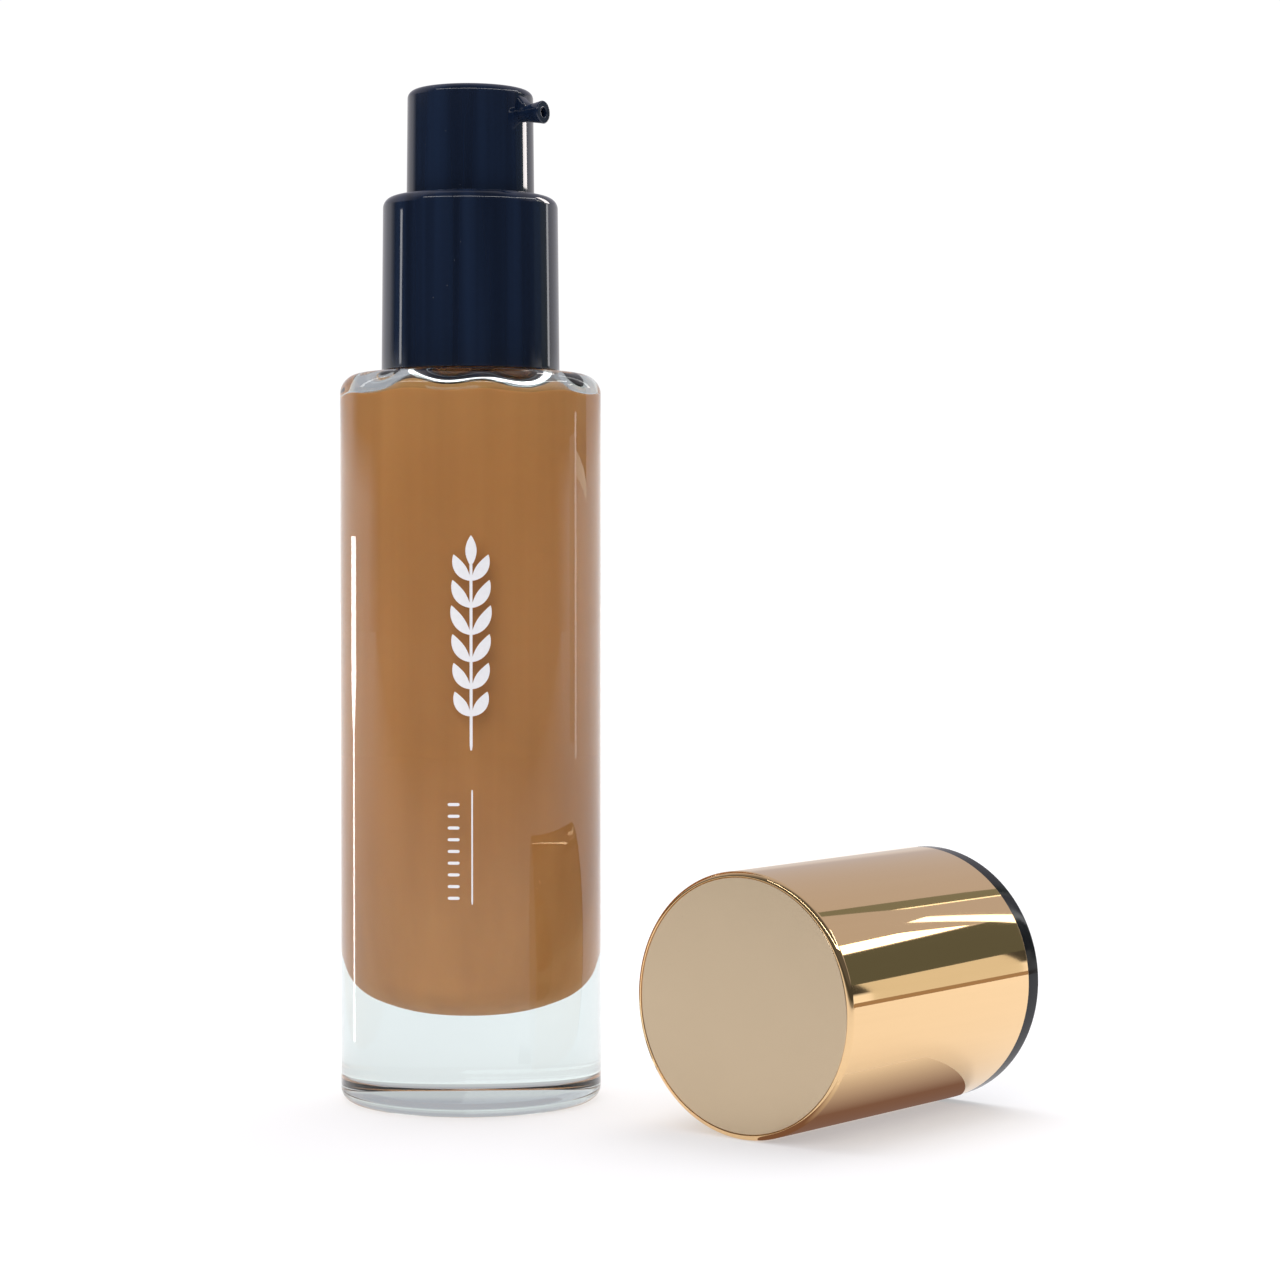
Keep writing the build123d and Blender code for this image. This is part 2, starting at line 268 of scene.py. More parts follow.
def bump(tree, shader, height, distance, strength):
    """Bumps a shader by a height socket, over a distance in metres."""
    node = tree.nodes.new("ShaderNodeBump")
    node.inputs["Strength"].default_value = strength
    node.inputs["Distance"].default_value = distance
    tree.links.new(height, node.inputs["Height"])
    tree.links.new(node.outputs["Normal"], shader.inputs["Normal"])


def glass_material():
    """Clear, faintly cool glass. Lamps shine through it, so that what it holds is lit."""
    material, tree, glass = new_material("clear_bottle_glass")
    glass.inputs["Base Color"].default_value = (0.69, 0.765, 0.755, 1)
    glass.inputs["Transmission Weight"].default_value = 1.0
    glass.inputs["IOR"].default_value = 1.5
    ripple = object_noise(tree, 60, (1, 1, 0.25), 1.0)
    tree.links.new(spread(tree, ripple.outputs["Fac"], 0.0, 0.012), glass.inputs["Roughness"])
    bump(tree, glass, ripple.outputs["Fac"], 0.0001, 0.12)
    rays = tree.nodes.new("ShaderNodeLightPath")
    clear = tree.nodes.new("ShaderNodeBsdfTransparent")
    clear.inputs["Color"].default_value = (0.88, 0.91, 0.91, 1)
    mix = tree.nodes.new("ShaderNodeMixShader")
    tree.links.new(rays.outputs["Is Shadow Ray"], mix.inputs["Fac"])
    tree.links.new(glass.outputs["BSDF"], mix.inputs[1])
    tree.links.new(clear.outputs["BSDF"], mix.inputs[2])
    tree.links.new(mix.outputs["Shader"], tree.nodes["Material Output"].inputs["Surface"])
    return material


def liquid_material():
    """Caramel-brown foundation, with faint upright streaks where it clings to the glass."""
    material, tree, liquid = new_material("caramel_foundation")
    streaks = object_noise(tree, 260, (1, 1, 0.035), 3.0)
    clouds = object_noise(tree, 70, (1, 1, 0.6), 2.0)
    blend = tree.nodes.new("ShaderNodeMix")
    blend.inputs["Factor"].default_value = 0.45
    tree.links.new(streaks.outputs["Fac"], blend.inputs["A"])
    tree.links.new(clouds.outputs["Fac"], blend.inputs["B"])
    value = spread(tree, blend.outputs["Result"], 0.0, 1.0, 0.3, 0.7)
    colour = two_colours(tree, value, (0.59, 0.252, 0.080), (0.745, 0.332, 0.109))
    tree.links.new(colour, liquid.inputs["Base Color"])
    liquid.inputs["Roughness"].default_value = 0.55
    liquid.inputs["Specular IOR Level"].default_value = 0.15
    liquid.inputs["Subsurface Weight"].default_value = 0.15
    liquid.inputs["Subsurface Radius"].default_value = (0.0012, 0.0006, 0.0003)
    liquid.inputs["Subsurface Scale"].default_value = 1.0
    return material


def gloss_plastic(name, dark, light, roughness, shine):
    """Moulded gloss plastic, with faint upright painted reflection streaks in its colour, an uneven polish and
    a little dust.
    """
    material, tree, plastic = new_material(name)
    # Painted reflection: lighter upright streaks in the colour stand in for the room's uneven light mirrored
    # in the plastic.
    reflection_streaks = object_noise(tree, 420, (1, 1, 0.02), 2.0)
    body = two_colours(tree, spread(tree, reflection_streaks.outputs["Fac"], 0, 1, 0.35, 0.65), dark, light)
    where = tree.nodes.new("ShaderNodeTexCoord")
    dust = tree.nodes.new("ShaderNodeTexVoronoi")
    dust.inputs["Scale"].default_value = 420
    tree.links.new(where.outputs["Object"], dust.inputs["Vector"])
    speck = spread(tree, dust.outputs["Distance"], 1, 0, 0.02, 0.035)
    tree.links.new(overlay(tree, body, (0.06, 0.065, 0.075), speck), plastic.inputs["Base Color"])
    haze = object_noise(tree, 500, (1, 1, 1), 3.0)
    rough = spread(tree, haze.outputs["Fac"], roughness * 0.6, roughness * 1.6, 0.3, 0.7)
    tree.links.new(rough, plastic.inputs["Roughness"])
    plastic.inputs["IOR"].default_value = 1.5
    plastic.inputs["Specular IOR Level"].default_value = shine
    bump(tree, plastic, haze.outputs["Fac"], 0.00002, 0.06)
    return material


def bright_gold_material(base, deep):
    """Bright anodised gold with the fine drawing lines and the faint waviness of thin pressed metal."""
    material, tree, gold = new_material("bright_gold")
    lines = object_noise(tree, 1500, (0.02, 0.02, 1), 2.0)
    tree.links.new(two_colours(tree, lines.outputs["Fac"], deep, base), gold.inputs["Base Color"])
    gold.inputs["Metallic"].default_value = 1.0
    wave = object_noise(tree, 120, (1, 0.25, 1), 1.0)
    tree.links.new(spread(tree, lines.outputs["Fac"], 0.025, 0.05), gold.inputs["Roughness"])
    bump(tree, gold, wave.outputs["Fac"], 0.00005, 0.12)
    return material


def satin_gold_material(base, deep):
    """Gold etched to an even satin, with a very fine grain and a faint clouding."""
    material, tree, gold = new_material("satin_gold")
    clouds = object_noise(tree, 150, (1, 1, 1), 2.0)
    tree.links.new(two_colours(tree, clouds.outputs["Fac"], deep, base), gold.inputs["Base Color"])
    gold.inputs["Metallic"].default_value = 1.0
    grain = object_noise(tree, 6000, (1, 1, 1), 2.0)
    tree.links.new(spread(tree, grain.outputs["Fac"], 0.26, 0.32), gold.inputs["Roughness"])
    bump(tree, gold, grain.outputs["Fac"], 0.000005, 0.08)
    return material


def moulded_plastic(name, colour, roughness):
    """Plain moulded plastic for the pieces inside."""
    material, tree, plastic = new_material(name)
    grain = object_noise(tree, 1400, (1, 1, 1), 4.0)
    darker = tuple(channel * 0.92 for channel in colour)
    tree.links.new(two_colours(tree, grain.outputs["Fac"], darker, colour), plastic.inputs["Base Color"])
    rough = spread(tree, grain.outputs["Fac"], roughness * 0.85, roughness * 1.15)
    tree.links.new(rough, plastic.inputs["Roughness"])
    bump(tree, plastic, grain.outputs["Fac"], 0.00002, 0.2)
    return material


def steel_material():
    """Drawn steel for the spring and the ball."""
    material, tree, steel = new_material("drawn_steel")
    scratches = object_noise(tree, 2500, (1, 1, 0.2), 2.0)
    colour = two_colours(tree, scratches.outputs["Fac"], (0.5, 0.5, 0.52), (0.72, 0.72, 0.74))
    tree.links.new(colour, steel.inputs["Base Color"])
    steel.inputs["Metallic"].default_value = 1.0
    tree.links.new(spread(tree, scratches.outputs["Fac"], 0.18, 0.32), steel.inputs["Roughness"])
    return material


def print_material():
    """Opaque white screen-printing ink with a little tooth."""
    material, tree, ink = new_material("white_ink")
    grain = object_noise(tree, 2200, (1, 1, 1), 2.0)
    colour = two_colours(tree, grain.outputs["Fac"], (0.82, 0.82, 0.83), (0.9, 0.9, 0.91))
    tree.links.new(colour, ink.inputs["Base Color"])
    ink.inputs["Roughness"].default_value = 0.5
    bump(tree, ink, grain.outputs["Fac"], 0.00001, 0.3)
    return material


# ---------------------------------------------------------------- bottle


def neck_thread(angle, r, z):
    """How far the helical thread stands out of the neck at this angle and height."""
    if abs(r - NECK_R) > 1e-6:
        return 0
    climbed = (z - THREAD_START) / THREAD_PITCH
    fade_in, crest, foot = 0.06, 0.4, 0.75
    rise = 0
    for whole in range(-1, int(THREAD_TURNS) + 2):
        turn = angle / tau + whole
        fade = min(max(turn / fade_in, 0), 1) * min(max((THREAD_TURNS - turn) / fade_in, 0), 1)
        off = abs(climbed - turn) * THREAD_PITCH
        flank = min(max((foot - off) / (foot - crest), 0), 1)
        rise = max(rise, fade * flank * THREAD_RISE)
    return rise


def eased(value, low, high):
    """0 below low, 1 above high, and a smooth step between."""
    t = min(max((value - low) / (high - low), 0), 1)
    return t * t * (3 - 2 * t)


def shoulder_wave(angle, r, z):
    """How unevenly the inside of the moulded shoulder lies, and the liquid's edge with it."""
    inside = r < INNER_R + 0.1 and z < SHOULDER - 0.6
    weight = eased(r, 8, 11.5) * eased(z, INNER_TOP - 5, INNER_TOP - 2) if inside else 0
    return weight * (0.16 * sin(9 * angle + 1.6) + 0.1 * sin(4 * angle + 0.4))


def cavity_corners(skin):
    """The inside of the glass from the neck down to its floor, moved out into the glass by skin."""
    wall_foot = BASE + 18.0
    bowl_r, bowl_rise = 9.0, 2.2
    floor_r = 4.2
    return [
        (INNER_R + skin, INNER_TOP + skin, 1.4),
        (INNER_R + skin, wall_foot, 40.0),
        (bowl_r + skin, BASE + bowl_rise - skin, 4.5),
        (floor_r, BASE - skin, 12.0),
        (0, BASE - skin, 0),
    ]


def glass_outline():
    """The section of the glass: up the outside from the hollow under it to the lip, and down the inside."""
    hollow_r, hollow_depth, hollow_crown = 7.5, 0.95, 0.2
    ring_width = 2.6
    outside = [
        (0, hollow_depth + hollow_crown, 0),
        (hollow_r, hollow_depth, 6.0),
        (BOTTLE_R - ring_width, 0.0, 0.7),
        (BOTTLE_R, 0.0, 1.5),
        (BOTTLE_R, SHOULDER - 0.4, 2.3),
        (COLLAR_R + 0.6, SHOULDER, 3.0),
        (NECK_R, SHOULDER, 0.3),
    ]
    thread_rows, row_step, first_row = 68, 0.1, SHOULDER + 0.9
    rings = [(NECK_R, first_row + row_step * k, 0) for k in range(thread_rows)]
    lip = [
        (NECK_R, NECK_TOP, 0.4),
        (NECK_BORE, NECK_TOP, 0.4),
        (NECK_BORE, INNER_TOP, BORE_FILLET),
    ]
    return rounded(outside + rings + lip + cavity_corners(0))


def liquid_outline():
    """The liquid, a hair wider than the cavity, with air only above it."""
    corners = cavity_corners(SKIN)
    corners[0] = (INNER_R + SKIN, LIQUID_TOP, 1.2)
    return rounded(corners + [(0, LIQUID_TOP, 0)])


def neck_film_outline():
    """The film of liquid that clings to the glass inside the neck and around the neck's foot."""
    thick = 0.35
    foot_r = 7.4
    film_top = NECK_TOP - 4.0
    return rounded(
        [
            (foot_r, INNER_TOP + SKIN, 0),
            (NECK_BORE + SKIN, INNER_TOP + SKIN, BORE_FILLET - SKIN),
            (NECK_BORE + SKIN, film_top, 0),
            (NECK_BORE - thick, film_top, 0),
            (NECK_BORE - thick, INNER_TOP - thick, BORE_FILLET + thick),
            (foot_r, INNER_TOP - thick, 0),
        ]
    )


bottle_glass = lathe("glass_body", glass_outline(), neck_thread, shoulder_wave)
finish_piece(bottle_glass, "bottle", glass_material(), ["glass_bottle"])
caramel = liquid_material()
liquid = lathe("foundation_liquid", liquid_outline(), lift=shoulder_wave)
finish_piece(liquid, "bottle", caramel, ["foundation_fill"])
finish_piece(lathe("neck_film", neck_film_outline()), "bottle", caramel)


# ---------------------------------------------------------------- print on the glass

PRINT_FACING = radians(-47.6)
INK_LOW = BOTTLE_R + 0.004
INK_HIGH = BOTTLE_R + 0.03


def ribbon(verts, faces, path, half_widths):
    """Adds a thin raised strip of ink along (across, height) points on the glass, half_widths to each side."""
    section = [(-1, INK_LOW), (-1, INK_HIGH), (0, INK_HIGH), (1, INK_HIGH), (1, INK_LOW)]
    count = len(section)
    first = len(verts)
    for i, (u, z) in enumerate(path):
        ahead = Vector(path[min(i + 1, len(path) - 1)])
        behind = Vector(path[max(i - 1, 0)])
        course = (ahead - behind).normalized()
        side = Vector((-course.y, course.x)) * half_widths[i]
        for shift, r in section:
            angle = PRINT_FACING + (u + side.x * shift) / BOTTLE_R
            verts.append((r * cos(angle), r * sin(angle), z + side.y * shift))
    for i in range(len(path) - 1):
        row = first + count * i
        for k in range(count):
            nxt = (k + 1) % count
            faces.append((row + k, row + nxt, row + count + nxt, row + count + k))
    last = first + count * (len(path) - 1)
    faces.append(tuple(range(first, first + count)))
    faces.append(tuple(reversed(range(last, last + count))))


def stroke(verts, faces, start, end, half_width, steps):
    """A straight strip of even width with softened ends."""
    start, end = Vector(start), Vector(end)
    path = [tuple(start.lerp(end, k / steps)) for k in range(steps + 1)]
    widths = [half_width * min(1, 0.55 + 0.6 * min(k, steps - k)) for k in range(steps + 1)]
    ribbon(verts, faces, path, widths)


def leaf(verts, faces, root, length, lean, half_width):
    """A pointed leaf from its root, leaning to one side and curling up towards its tip."""
    steps = 14
    path, widths = [], []
    for k in range(steps + 1):
        t = k / steps
        angle = lean * (1 - 0.35 * t)
        path.append((root[0] + length * t * sin(angle), root[1] + length * t * cos(angle)))
        widths.append(max(half_width * sin(pi * t) ** 0.8, 0.02))
    ribbon(verts, faces, path, widths)


def printed_mark():
    """A plain leaf sprig above a thin rule and a column of short ticks: a generic mark."""
    verts, faces = [], []
    top, foot = 62.0, 41.0
    leaf_gap, leaf_lean = 3.0, radians(52)
    stroke(verts, faces, (0, foot), (0, top), 0.16, 40)
    leaf(verts, faces, (0, top - 0.6), 3.4, 0.0, 0.62)
    for pair in range(6):
        z = top - 2.2 - leaf_gap * pair
        length = 3.9 - 0.22 * abs(pair - 2)
        for side in (-1, 1):
            leaf(verts, faces, (0, z), length, side * leaf_lean, 0.66)
    rule_x, rule_low, rule_high = 0.1, 23.9, 36.6
    stroke(verts, faces, (rule_x, rule_low), (rule_x, rule_high), 0.09, 40)
    tick_start, tick_end, tick_gap = -2.6, -1.3, 1.3
    for tick in range(9):
        z = rule_low + 0.7 + tick_gap * tick
        stroke(verts, faces, (tick_start, z), (tick_end, z), 0.17, 8)
    return smooth_object("printed_mark", verts, faces)


finish_piece(printed_mark(), "bottle", print_material())


# ---------------------------------------------------------------- collar, button and nozzle

# The navy runs from the dark tone to the light tone along the painted reflection streaks.
NAVY_DARK = (0.0035, 0.0075, 0.02)
NAVY_LIGHT = (0.008, 0.017, 0.042)
black_gloss = gloss_plastic("navy_gloss_plastic", NAVY_DARK, NAVY_LIGHT, 0.05, 0.5)


def collar():
    """The sleeve around the neck, with its rounded top turned in towards the button."""
    hole = BUTTON_R + 0.25
    inner = COLLAR_R - 0.7
    roof = COLLAR_TOP - 1.6
    draft = 0.2
    outline = rounded(
        [
            (inner, COLLAR_FOOT, 0.1),
            (COLLAR_R, COLLAR_FOOT, 0.2),
            (COLLAR_R - draft, COLLAR_TOP, 1.25),
            (hole, COLLAR_TOP, 0.2),
            (hole, roof, 0.1),
            (inner, roof, 0),
        ]
    )
    return lathe("collar", outline)


def button():
    """The button's cup, a little narrower at its slightly crowned top."""
    roof = BUTTON_TOP - BUTTON_WALL
    outline = rounded(
        [
            (BUTTON_R - BUTTON_WALL, SKIRT, 0.2),
            (BUTTON_R, SKIRT, 0.2),
            (BUTTON_RIM_R, BUTTON_RIM_Z, 0.9),
            (BUTTON_RIM_R - 2.2, BUTTON_TOP, 3.0),
            (0, BUTTON_TOP, 0),
            (0, roof, 0),
            (BUTTON_R - BUTTON_WALL, roof, 0),
        ]
    )
    return lathe("button", outline)


def hood():
    """The small wedge from the button's top edge down over the nozzle's root, with softened edges."""
    back, front = BUTTON_RIM_R - 0.6, BUTTON_RIM_R + 0.8
    side = [
        (back, NOZZLE_Z + 0.2),
        (front, NOZZLE_Z + 0.2),
        (front, NOZZLE_Z + 1.1),
        (back, BUTTON_RIM_Z - 0.3),
    ]
    half_width = 0.9
    work = bmesh.new()
    rows = [[work.verts.new((x, y, z)) for x, z in side] for y in (-half_width, half_width)]
    work.faces.new(rows[0])
    work.faces.new(reversed(rows[1]))
    for i in range(len(side)):
        nxt = (i + 1) % len(side)
        work.faces.new((rows[0][i], rows[1][i], rows[1][nxt], rows[0][nxt]))
    bmesh.ops.bevel(work, geom=work.edges[:], offset=0.32, segments=5, profile=0.5, affect="EDGES")
    verts = [tuple(v.co) for v in work.verts]
    work.verts.index_update()
    faces = [[v.index for v in face.verts] for face in work.faces]
    work.free()
    return place(smooth_object("button_hood", verts, faces), Matrix.Rotation(NOZZLE_TURN, 4, "Z"))


def nozzle():
    """The little flared outlet tube, made upright and then turned to point outward."""
    flare = 0.38
    root = 3.0
    outline = rounded(
        [
            (NOZZLE_BORE, root, 0),
            (NOZZLE_R, root, 0),
            (NOZZLE_R, BUTTON_R + 0.7, 2.0),
            (NOZZLE_R + flare, NOZZLE_REACH, 0.14),
            (NOZZLE_BORE, NOZZLE_REACH, 0.1),
        ]
    )
    pipe = lathe("nozzle", outline, segments=64)
    outward = Matrix.Translation((0, 0, NOZZLE_Z)) @ Matrix.Rotation(pi / 2, 4, "Y")
    return place(pipe, Matrix.Rotation(NOZZLE_TURN, 4, "Z") @ outward)


finish_piece(collar(), "closure", black_gloss, ["collar_sleeve"])
finish_piece(button(), "button", black_gloss, ["button_shell"])
finish_piece(hood(), "button", black_gloss)
finish_piece(nozzle(), "button", black_gloss, ["nozzle_tube"])


# ---------------------------------------------------------------- overcap


def lying_down(piece):
    """Lays an upright overcap piece, closed end down at the origin, into its place beside the bottle."""
    return place(piece, Matrix.Translation(OVERCAP_PLACE) @ Matrix.Rotation(OVERCAP_TILT - pi / 2, 4, "X"))


def overcap_outer_r(height):
    """The overcap's outside radius at a height above its closed end."""
    return OVERCAP_R + (OVERCAP_MOUTH_R - OVERCAP_R) * height / OVERCAP_LENGTH


# A fine groove parts the flat end disc from the metal's rounded edge. These are its two lips, its bottom
# and the seam inside.
GROOVE = 0.14
RING_INNER_R = OVERCAP_R - 0.56
RING_LIP = (RING_INNER_R, 0)
GROOVE_FOOT = (RING_INNER_R, GROOVE)
DISC_LIP = (RING_INNER_R - GROOVE, 0)
SEAM = (OVERCAP_R - SHELL_WALL, SHELL_WALL)


def overcap_metal():
    """The gold cup's side, with its small rounded edge at the closed end, but without its end disc."""
    mouth = OVERCAP_LENGTH - RIM_THICK
    mouth_r = overcap_outer_r(mouth)
    outline = rounded(
        [
            (*GROOVE_FOOT, 0),
            (*RING_LIP, 0),
            (OVERCAP_R, 0, 0.55),
            (mouth_r, mouth, 0.12),
            (mouth_r - SHELL_WALL, mouth, 0.1),
            (*SEAM, 0),
        ]
    )
    return lying_down(lathe("overcap_metal", outline, segments=256))


def overcap_end():
    """The flat closed end, with its satin finish."""
    edge = DISC_LIP[0]
    outline = [(0, 0), (edge / 3, 0), (edge * 2 / 3, 0), DISC_LIP, GROOVE_FOOT, SEAM, (0, SHELL_WALL)]
    return lying_down(lathe("overcap_end", outline, segments=256))


def liner():
    """The black liner: thick rim, sleeve that grips the collar, skirt inside the metal, and roof."""
    rim = OVERCAP_LENGTH - RIM_THICK
    rim_r = overcap_outer_r(rim) - 0.1
    skirt_end = OVERCAP_LENGTH - 9.0
    skirt_r = overcap_outer_r(skirt_end) - SHELL_WALL - 0.01
    skirt_wall = 0.9
    sleeve_r = LINER_BORE + 1.0
    roof = SHELL_WALL + 0.02
    roof_thick = 1.4
    outline = rounded(
        [
            (0, roof, 0),
            (sleeve_r, roof, 0.3),
            (sleeve_r, rim, 0.3),
            (skirt_r - skirt_wall, rim, 0.3),
            (skirt_r - skirt_wall, skirt_end, 0.2),
            (skirt_r, skirt_end, 0.2),
            (skirt_r, rim + 0.01, 0),
            (rim_r, rim + 0.01, 0.12),
            (rim_r, OVERCAP_LENGTH, 0.45),
            (LINER_BORE, OVERCAP_LENGTH, 0.5),
            (LINER_BORE, roof + roof_thick, 0.4),
            (0, roof + roof_thick, 0),
        ]
    )
    return lying_down(lathe("overcap_liner_plastic", outline, segments=256))


def liner_bead(index):
    """One of the long low beads in the bore that grip the collar."""
    low, high = OVERCAP_LENGTH - 19.0, OVERCAP_LENGTH - 5.0
    height, half_width = 0.18, 0.3
    steps, across = 24, 8
    centre = tau * index / BEADS + radians(22.5)
    verts, faces = [], []
    for k in range(steps + 1):
        t = k / steps
        swell = height * min(1, 6 * min(t, 1 - t)) ** 0.5
        for j in range(across + 1):
            turn = pi * j / across
            r = LINER_BORE + 0.02 - swell * sin(turn)
            angle = centre + half_width * cos(turn) / LINER_BORE
            verts.append((r * cos(angle), r * sin(angle), low + (high - low) * t))
    row = across + 1
    for k in range(steps):
        for j in range(across):
            faces.append((row * k + j, row * k + j + 1, row * (k + 1) + j + 1, row * (k + 1) + j))
    for k in range(steps):
        faces.append((row * k, row * (k + 1), row * (k + 1) + across, row * k + across))
    return lying_down(smooth_object(f"liner_bead_{index + 1}", verts, faces))


gold = bright_gold_material((0.88, 0.61, 0.33), (0.86, 0.59, 0.315))
satin_gold = satin_gold_material((0.62, 0.49, 0.333), (0.60, 0.474, 0.32))
finish_piece(overcap_metal(), "overcap", gold, ["overcap_shell"])
finish_piece(overcap_end(), "overcap", satin_gold)
# The liner's black runs from the dark tone to the light tone along the painted reflection streaks.
BLACK_DARK = (0.004, 0.005, 0.007)
BLACK_LIGHT = (0.007, 0.008, 0.011)
liner_plastic = gloss_plastic("black_liner_plastic", BLACK_DARK, BLACK_LIGHT, 0.12, 0.2)
finish_piece(liner(), "overcap", liner_plastic, ["overcap_liner"])
for index in range(BEADS):
    finish_piece(liner_bead(index), "overcap", liner_plastic)


# ---------------------------------------------------------------- pieces carried over from CAD

natural = moulded_plastic("natural_plastic", (0.78, 0.78, 0.75), 0.4)
dull_black = moulded_plastic("dull_black_plastic", (0.012, 0.014, 0.018), 0.4)
steel = steel_material()
carried = {
    "neck_gasket": natural,
    "pump_housing": natural,
    "retaining_turret": natural,
    "dip_tube": natural,
    "pump_stem": natural,
    "piston_rod": natural,
    "piston_seal": natural,
    "return_spring": steel,
    "inlet_ball": steel,
    "screw_closure": dull_black,
    "button_core": dull_black,
}
for node, material in carried.items():
    slots = frame["nodes"][node].data.materials
    slots.clear()
    slots.append(material)


# ---------------------------------------------------------------- floor, light and camera

# The camera's own directions: right, and forward along the floor.
RIGHT = Vector((0.77463, 0.63241, 0))
FORWARD = Vector((-0.63241, 0.77463, 0))
SUBJECT = Vector((0.012, 0.0, 0.05))


def floor():
    """A wide sheet of white paper. Far from the object it glows like an evenly lit sweep."""
    mesh = bpy.data.meshes.new("floor")
    half = 6.0
    corners = [(-half, -half, 0), (half, -half, 0), (half, half, 0), (-half, half, 0)]
    mesh.from_pydata(corners, [], [(0, 1, 2, 3)])
    plane = bpy.data.objects.new("floor", mesh)
    bpy.context.scene.collection.objects.link(plane)
    material, tree, paper = new_material("white_paper")
    grain = object_noise(tree, 40, (1, 1, 1), 2.0)
    colour = two_colours(tree, grain.outputs["Fac"], (0.86, 0.86, 0.865), (0.88, 0.88, 0.885))
    tree.links.new(colour, paper.inputs["Base Color"])
    paper.inputs["Roughness"].default_value = 0.9
    paper.inputs["Specular IOR Level"].default_value = 0.1
    where = tree.nodes.new("ShaderNodeTexCoord")
    distance = tree.nodes.new("ShaderNodeVectorMath")
    distance.operation = "LENGTH"
    tree.links.new(where.outputs["Object"], distance.inputs[0])
    rays = tree.nodes.new("ShaderNodeLightPath")
    far_side = spread(tree, along(tree, where.outputs["Object"], FORWARD), 0.3, 1.2, -0.35, 0.05)
    seen = maths(tree, "MAXIMUM", far_side, rays.outputs["Is Camera Ray"])
    glow = tree.nodes.new("ShaderNodeEmission")
    tree.links.new(seen, glow.inputs["Strength"])
    mix = tree.nodes.new("ShaderNodeMixShader")
    tree.links.new(spread(tree, distance.outputs["Value"], 0.4, 1.0, 0.2, 0.7), mix.inputs["Fac"])
    tree.links.new(paper.outputs["BSDF"], mix.inputs[1])
    tree.links.new(glow.outputs["Emission"], mix.inputs[2])
    tree.links.new(mix.outputs["Shader"], tree.nodes["Material Output"].inputs["Surface"])
    mesh.materials.append(material)


def toward(azimuth):
    """The level direction at an azimuth in degrees: 0 is the camera's side, 90 its right and 180 behind."""
    angle = radians(azimuth)
    return -FORWARD * cos(angle) + RIGHT * sin(angle)


def softbox(name, azimuth, distance, height, width, tall, watts):
    """A rectangular lamp that faces the object, and that polished surfaces don't show."""
    lamp = bpy.data.lights.new(name, "AREA")
    lamp.shape = "RECTANGLE"
    lamp.size = width
    lamp.size_y = tall
    lamp.energy = watts
    piece = bpy.data.objects.new(name, lamp)
    bpy.context.scene.collection.objects.link(piece)
    piece.location = SUBJECT + toward(azimuth) * distance + Vector((0, 0, height))
    piece.rotation_euler = (SUBJECT - piece.location).to_track_quat("-Z", "Y").to_euler()
    piece.visible_glossy = False


def plain_light(name):
    """A material that only glows. Returns the material, its tree and its emission node."""
    material = bpy.data.materials.new(name)
    material.use_nodes = True
    tree = material.node_tree
    tree.nodes.remove(tree.nodes["Principled BSDF"])
    glow = tree.nodes.new("ShaderNodeEmission")
    tree.links.new(glow.outputs["Emission"], tree.nodes["Material Output"].inputs["Surface"])
    return material, tree, glow


def reflected_sheet(name, corners, material):
    """Adds a flat sheet to the scene that only polished surfaces see."""
    mesh = bpy.data.meshes.new(name)
    mesh.from_pydata(corners, [], [tuple(range(len(corners)))])
    mesh.materials.append(material)
    piece = bpy.data.objects.new(name, mesh)
    bpy.context.scene.collection.objects.link(piece)
    piece.visible_camera = False
    piece.visible_diffuse = False
    piece.visible_transmission = False
    piece.visible_shadow = False


def card(name, centre, direction, distance, outline, strength, colour=(1, 1, 1)):
    """An upright glowing card for reflections. outline is (sideways, height) points in metres."""
    across = Vector((-direction.y, direction.x, 0))
    middle = Vector((*centre, 0)) + direction * distance
    corners = [middle + across * side + Vector((0, 0, height)) for side, height in outline]
    material, tree, glow = plain_light(name)
    glow.inputs["Color"].default_value = (*colour, 1)
    glow.inputs["Strength"].default_value = strength
    reflected_sheet(name, corners, material)


def panel(half_width, low, high):
    """The outline of a plain rectangular card."""
    return [(-half_width, low), (half_width, low), (half_width, high), (-half_width, high)]


def cap_shade():
    """The shaded paper beside the overcap's foot, which the gold mirrors, fading outward."""
    near, far = 0.043, 0.058
    fade_start = near + 0.006
    above_floor = 0.0002
    corners = [(near, -0.01), (far, -0.01), (far, 0.026), (near, 0.036)]
    material, tree, glow = plain_light("cap_shade")
    where = tree.nodes.new("ShaderNodeTexCoord")
    axes = tree.nodes.new("ShaderNodeSeparateXYZ")
    tree.links.new(where.outputs["Object"], axes.inputs["Vector"])
    fade = spread(tree, axes.outputs["X"], 0, 1, fade_start, far)
    tree.links.new(two_colours(tree, fade, (0.22, 0.13, 0.10), (0.88, 0.85, 0.84)), glow.inputs["Color"])
    reflected_sheet("cap_shade", [(x, y, above_floor) for x, y in corners], material)


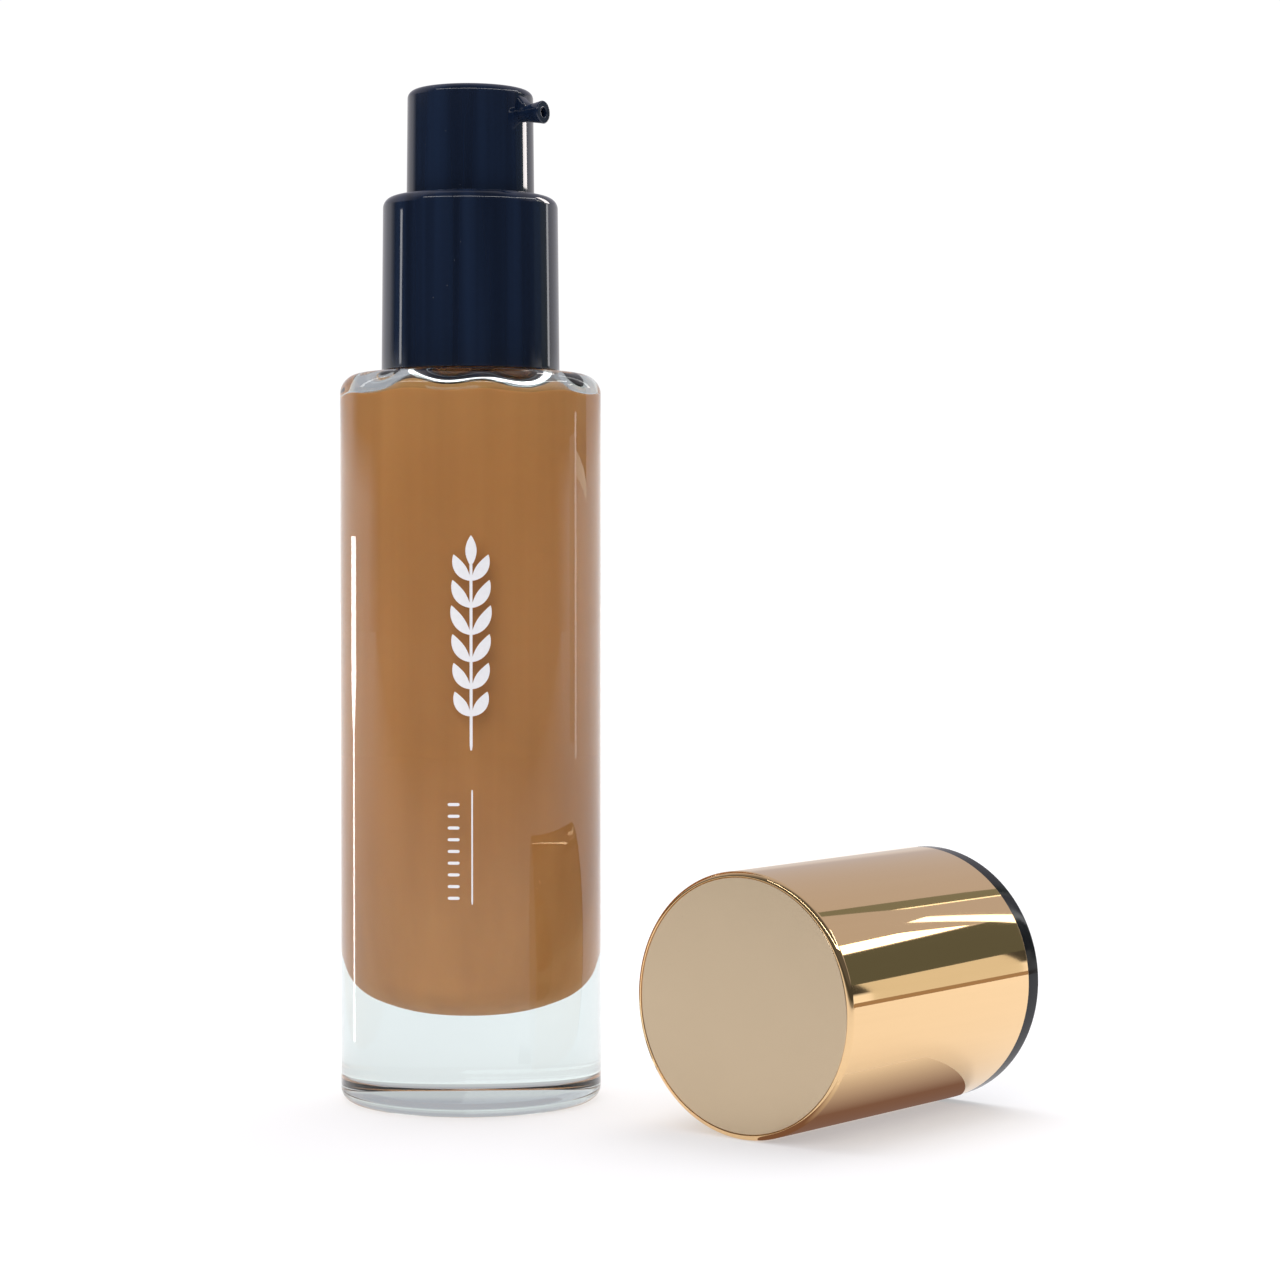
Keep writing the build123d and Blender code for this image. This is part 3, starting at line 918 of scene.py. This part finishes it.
def room_light():
    """The room that the surfaces reflect, with a bright band along the table's horizon.

    Polished surfaces see a dark ceiling in front. The camera itself sees plain white everywhere.
    """
    table, dark_front = (0.26, 0.26, 0.26), (0.07, 0.072, 0.068)
    back_wall = (0.74, 0.72, 0.74)
    horizon = (1.15, 1.15, 1.15)
    ceiling = (0.57, 0.55, 0.60)
    seen_white = (1.03, 1.03, 1.03)

    world = bpy.data.worlds.new("pale_room")
    bpy.context.scene.world = world
    world.use_nodes = True
    tree = world.node_tree
    where = tree.nodes.new("ShaderNodeTexCoord")
    rays = tree.nodes.new("ShaderNodeLightPath")
    axes = tree.nodes.new("ShaderNodeSeparateXYZ")
    tree.links.new(where.outputs["Generated"], axes.inputs["Vector"])
    height = axes.outputs["Z"]
    behind = along(tree, where.outputs["Generated"], FORWARD)

    colour = two_colours(tree, spread(tree, height, 0, 1, 0.0, 0.06), table, dark_front)
    colour = overlay(tree, colour, back_wall, spread(tree, behind, 0, 1, 0.40, 0.60))
    level = spread(tree, height, 1, 0, 0.045, 0.07)
    beside = spread(tree, behind, 0, 1, -0.1, 0.15)
    colour = overlay(tree, colour, horizon, maths(tree, "MULTIPLY", level, beside))
    matt = spread(tree, rays.outputs["Is Glossy Ray"], 1, 0)
    lit = maths(tree, "MAXIMUM", spread(tree, behind, 0.1, 1, -0.3, 0.1), matt)
    above = spread(tree, height, 0, 1, 0.18, 0.25)
    colour = overlay(tree, colour, ceiling, maths(tree, "MULTIPLY", above, lit))
    colour = overlay(tree, colour, seen_white, rays.outputs["Is Camera Ray"])
    tree.links.new(colour, tree.nodes["Background"].inputs["Color"])


def camera():
    """The photograph's viewpoint."""
    data = bpy.data.cameras.new("camera")
    data.lens = 86.41
    data.sensor_width = 36.0
    piece = bpy.data.objects.new("camera", data)
    bpy.context.scene.collection.objects.link(piece)
    pitch = 0.0189
    piece.location = (0.23949, -0.26248, 0.05965)
    look = FORWARD * cos(pitch) - Vector((0, 0, sin(pitch)))
    piece.rotation_euler = look.to_track_quat("-Z", "Y").to_euler()
    bpy.context.scene.camera = piece


floor()
room_light()
softbox("overhead", 180, 0.35, 1.2, 1.3, 1.1, 13.5)
softbox("front_fill", -15, 1.1, 0.55, 0.9, 0.9, 6)

# Slim lights beside the bottle, which draw the upright lines on the glass and the plastic.
AXIS = (0, 0)
TAPERED = [(0.0011, 0.0), (0.0014, 0.040), (0.004, 0.047), (0.004, 0.066)]
TAPERED += [(-side, height) for side, height in reversed(TAPERED)]
card("glass_left", AXIS, toward(-108.4), 0.054, TAPERED, 9)
card("glass_right", AXIS, toward(104.0), 0.15, panel(0.003, 0.0315, 0.09), 3)
card("collar_left", AXIS, toward(-83.2), 0.028, panel(0.0009, 0.0855, 0.105), 4)
card("collar_right", AXIS, toward(106), 0.028, panel(0.0011, 0.0855, 0.1065), 3)
card("button_right", AXIS, toward(105.7), 0.0243, panel(0.0025, 0.107, 0.1185), 11, (1.0, 0.93, 0.9))

# A hoop of slim lamps high in front, which draws the thin bright line along every rounded edge.
for step in range(4):
    card(f"hoop_{step + 1}", AXIS, toward(45 * (step - 1)), 0.6, panel(0.24, 0.47, 0.515), 9)

# What the gold side of the overcap mirrors, from its lowest band to its highest.
CAP_SIDE = toward(108)
FAR = 0.8
BOARD_FOOT = 0.133
WARM_WHITE = (1.0, 0.98, 0.85)
STRIP = [(-0.12, 0.0), (-0.01, 0.0), (-0.01, BOARD_FOOT), (-0.12, BOARD_FOOT)]
WEDGE = [(-0.05, 0.366), (0.085, 0.366), (0.062, 0.424), (-0.05, 0.44)]
card("low_strip", AXIS, CAP_SIDE, FAR, STRIP, 1, (0.85, 0.83, 0.75))
card("dark_board", AXIS, CAP_SIDE, FAR, panel(0.2, BOARD_FOOT, 0.358), 1, (0.125, 0.138, 0.115))
card("board_edge", AXIS, CAP_SIDE, FAR, WEDGE, 5, WARM_WHITE)
SIDEWAYS = Vector((1, 0, 0))
BESIDE_CAP = 0.068
BY_THE_CAP = (0, 0.035)
BEHIND_THE_CAP = (0, 0.15)
LINE_TOP = 0.081
card("foot_line", BY_THE_CAP, SIDEWAYS, BESIDE_CAP, panel(0.03, 0.0143, 0.0155), 1, (0.43, 0.31, 0.21))
card("high_line", BEHIND_THE_CAP, SIDEWAYS, BESIDE_CAP, panel(0.06, 0.077, LINE_TOP), 2, WARM_WHITE)
card("high_bar", BEHIND_THE_CAP, SIDEWAYS, BESIDE_CAP, panel(0.06, LINE_TOP, 0.145), 1, (0.24, 0.26, 0.22))
cap_shade()
camera()
bpy.context.scene.view_settings.view_transform = "Standard"
